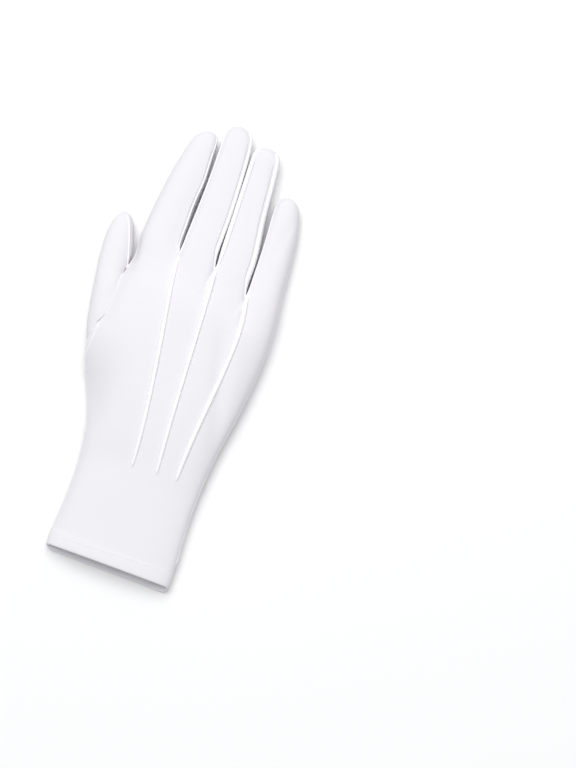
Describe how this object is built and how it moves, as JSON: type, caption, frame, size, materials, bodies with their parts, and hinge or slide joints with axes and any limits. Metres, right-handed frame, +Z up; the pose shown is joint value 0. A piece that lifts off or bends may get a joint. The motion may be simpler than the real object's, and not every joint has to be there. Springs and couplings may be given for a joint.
{
  "type": "dress glove",
  "caption": "White dress glove for the right hand, lying palm down: thin hollow cloth with a set-in thumb, fourchettes between the fingers, raised back points and a turned cuff hem.",
  "frame": {"origin": "middle of the glove's footprint, on the table it lies on", "axes": "+Y towards the fingertips, +X towards the little finger, +Z up out of the back of the hand"},
  "size_m": [0.1012, 0.246, 0.0234],
  "materials": {
    "glove_cloth": "fine smooth white jersey knit, matt",
    "fourchette_cloth": "fine smooth white jersey knit, matt",
    "corded_seam": "white cloth gathered over thread, matt",
    "hem_cloth": "white jersey knit folded double and stitched, matt"
  },
  "bodies": {
    "root": {"back_panel": "glove_cloth", "palm_panel": "glove_cloth", "thumb": "glove_cloth", "fourchette_index_middle": "fourchette_cloth", "fourchette_middle_ring": "fourchette_cloth", "fourchette_ring_little": "fourchette_cloth", "back_point_1": "corded_seam", "back_point_2": "corded_seam", "back_point_3": "corded_seam", "cuff_hem": "hem_cloth"}
  },
  "joints": []
}
